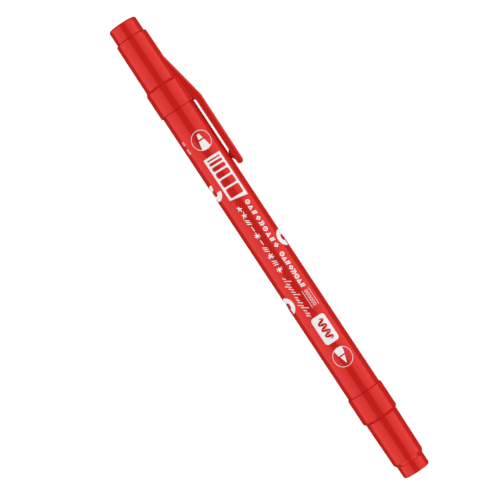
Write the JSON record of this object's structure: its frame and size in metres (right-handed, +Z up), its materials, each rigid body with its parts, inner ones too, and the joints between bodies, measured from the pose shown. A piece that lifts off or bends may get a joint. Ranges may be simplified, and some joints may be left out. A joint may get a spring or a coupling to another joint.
{
  "type": "twin-tip marker",
  "caption": "Slim twin-tip permanent marker: round barrel, press-on stepped caps, a pocket clip on the bullet-nib cap, and a bullet nib and a fine nib under the caps.",
  "frame": {"origin": "on the surface the marker lies on, under the middle of its bounding box; it lies on both cap collars and one corner of the clip", "axes": "+X along the marker towards the cap with the clip; +Z up; the clip points to -Y and 25.8 degrees below level"},
  "size_m": [0.14, 0.0124, 0.0102],
  "materials": {
    "red_plastic": "glossy moulded plastic",
    "black_plastic": "satin moulded plastic",
    "inked_fibre": "bonded fibre soaked in ink",
    "reservoir_fibre": "soft bundled fibre soaked in ink",
    "clear_film": "thin clear film",
    "liner_plastic": "milky natural plastic",
    "white_print": "screen-printed ink"
  },
  "bodies": {
    "barrel": {"barrel_tube": "red_plastic", "ink_reservoir": "reservoir_fibre", "reservoir_film": "clear_film", "bullet_section": "black_plastic", "bullet_nib": "inked_fibre", "fine_section": "black_plastic", "fine_tip_sleeve": "black_plastic", "fine_nib": "inked_fibre"},
    "clip_cap": {"clip_cap_shell": "red_plastic", "clip_cap_liner": "liner_plastic", "clip_cap_plug": "red_plastic"},
    "clip_arm": {"pocket_clip": "red_plastic"},
    "plain_cap": {"plain_cap_shell": "red_plastic", "plain_cap_liner": "liner_plastic", "plain_cap_plug": "red_plastic"}
  },
  "joints": [
    {"name": "clip_cap_pull", "type": "slide", "parent": "barrel", "child": "clip_cap", "axis": [1, 0, 0], "range_m": [0, 0.04]},
    {"name": "plain_cap_pull", "type": "slide", "parent": "barrel", "child": "plain_cap", "axis": [-1, 0, 0], "range_m": [0, 0.04]},
    {"name": "clip_flex", "type": "hinge", "parent": "clip_cap", "child": "clip_arm", "pos_m": [0.04325, -0.00451, 0.00237], "axis": [0, -0.4352, 0.9003], "range_deg": [0, 7], "stiffness_Nm_per_rad": 0.3}
  ]
}
